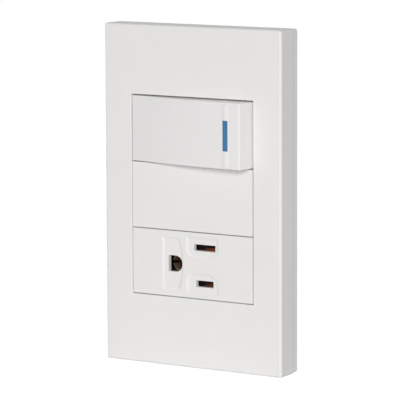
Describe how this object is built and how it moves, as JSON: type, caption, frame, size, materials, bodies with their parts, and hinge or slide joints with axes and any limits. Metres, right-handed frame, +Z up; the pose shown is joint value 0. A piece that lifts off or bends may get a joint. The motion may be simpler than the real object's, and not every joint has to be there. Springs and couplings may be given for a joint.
{
  "type": "switch and socket combination",
  "caption": "Wall plate with a wide rocker switch, a blank module and a grounded blade socket on a steel strap, with a working rocker, plunger and rocking contact.",
  "frame": {"origin": "midway between the two box screw holes, on the wall plane behind the plate", "axes": "+X right seen from the front, +Y into the wall, +Z up"},
  "size_m": [0.072, 0.0382, 0.12],
  "materials": {
    "white_plastic": "smooth satin gloss moulding",
    "rocker_plastic": "smooth satin gloss moulding",
    "rim_plastic": "fine matt moulding, slightly darker than the cover",
    "housing_plastic": "dark matt moulding",
    "indicator_blue": "translucent blue moulding",
    "strap_steel": "zinc plated sheet",
    "screw_steel": "zinc plated",
    "spring_steel": "bright wire",
    "contact_brass": "stamped strip",
    "contact_bronze": "stamped phosphor bronze strip",
    "tip_silver": "silver alloy rivet"
  },
  "bodies": {
    "base": {"cover_plate": "white_plastic", "plate_frame": "rim_plastic", "plate_screw_top": "screw_steel", "plate_screw_bottom": "screw_steel", "mounting_strap": "strap_steel", "switch_frame": "housing_plastic", "switch_housing": "housing_plastic", "common_terminal": "contact_brass", "fixed_contact": "contact_brass", "fixed_contact_tip": "tip_silver", "switch_clamp_left": "contact_brass", "switch_clamp_right": "contact_brass", "switch_screw_left": "screw_steel", "switch_screw_right": "screw_steel", "blank_insert": "white_plastic", "outlet_face": "white_plastic", "outlet_body": "housing_plastic", "neutral_contact": "contact_bronze", "hot_contact": "contact_bronze", "earth_contact": "contact_bronze", "neutral_clamp": "contact_brass", "hot_clamp": "contact_brass", "earth_clamp": "contact_brass", "neutral_screw": "screw_steel", "hot_screw": "screw_steel", "earth_screw": "screw_steel", "outlet_screw_top": "screw_steel", "outlet_screw_bottom": "screw_steel"},
    "rocker": {"switch_rocker": "rocker_plastic", "indicator_bar": "indicator_blue", "plunger_spring": "spring_steel"},
    "plunger": {"contact_plunger": "contact_brass"},
    "seesaw": {"contact_seesaw": "contact_brass", "moving_contact_tip": "tip_silver"}
  },
  "joints": [
    {"name": "rocker_tilt", "type": "hinge", "parent": "base", "child": "rocker", "pos_m": [0, -0.0095, 0.0235], "axis": [0, 0, 1], "range_deg": [0, 14.4]},
    {"name": "plunger_slide", "type": "slide", "parent": "rocker", "child": "plunger", "axis": [-0.1253, -0.9921, 0], "range_m": [0, 0.0009], "stiffness_N_per_m": 300, "springref_m": -0.002, "deforming": ["plunger_spring"]},
    {"name": "seesaw_tilt", "type": "hinge", "parent": "base", "child": "seesaw", "pos_m": [0, 0.00512, 0.0235], "axis": [0, 0, 1], "range_deg": [-12, 0]}
  ],
  "couplings": [
    {"joint": "seesaw_tilt", "follows": "rocker_tilt", "ratio": -0.83333}
  ]
}
